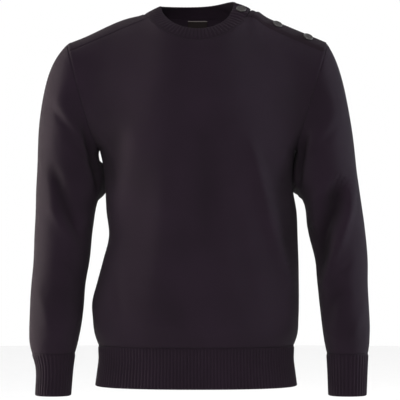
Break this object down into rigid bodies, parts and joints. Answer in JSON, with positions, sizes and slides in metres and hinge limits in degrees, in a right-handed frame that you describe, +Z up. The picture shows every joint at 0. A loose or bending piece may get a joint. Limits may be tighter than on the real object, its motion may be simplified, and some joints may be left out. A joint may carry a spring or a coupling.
{
  "type": "button shoulder sweater",
  "caption": "Crew-neck long-sleeved knitted sweater with a ribbed collar, cuffs and hem, and a buttoned band on the wearer's left shoulder, filled out as worn.",
  "frame": {"origin": "midway between the two points where the neck meets the shoulders, where the garment hangs on its wearer", "axes": "+Z up along the body, the front of the garment faces -Y, +X is the wearer's left"},
  "size_m": [0.6261, 0.2453, 0.7281],
  "materials": {
    "knit": "matt, fine plain knit",
    "rib": "matt, ribbed knit",
    "button": "satin",
    "label": "matt woven"
  },
  "bodies": {
    "root": {"front_panel": "knit", "back_panel": "knit", "sleeve_left": "knit", "sleeve_right": "knit", "cuff_left": "rib", "cuff_right": "rib", "hem_band_front": "rib", "hem_band_back": "rib", "collar": "rib", "shoulder_placket": "rib", "button_collar": "button", "button_inner": "button", "button_outer": "button", "neck_label": "label"}
  },
  "joints": []
}
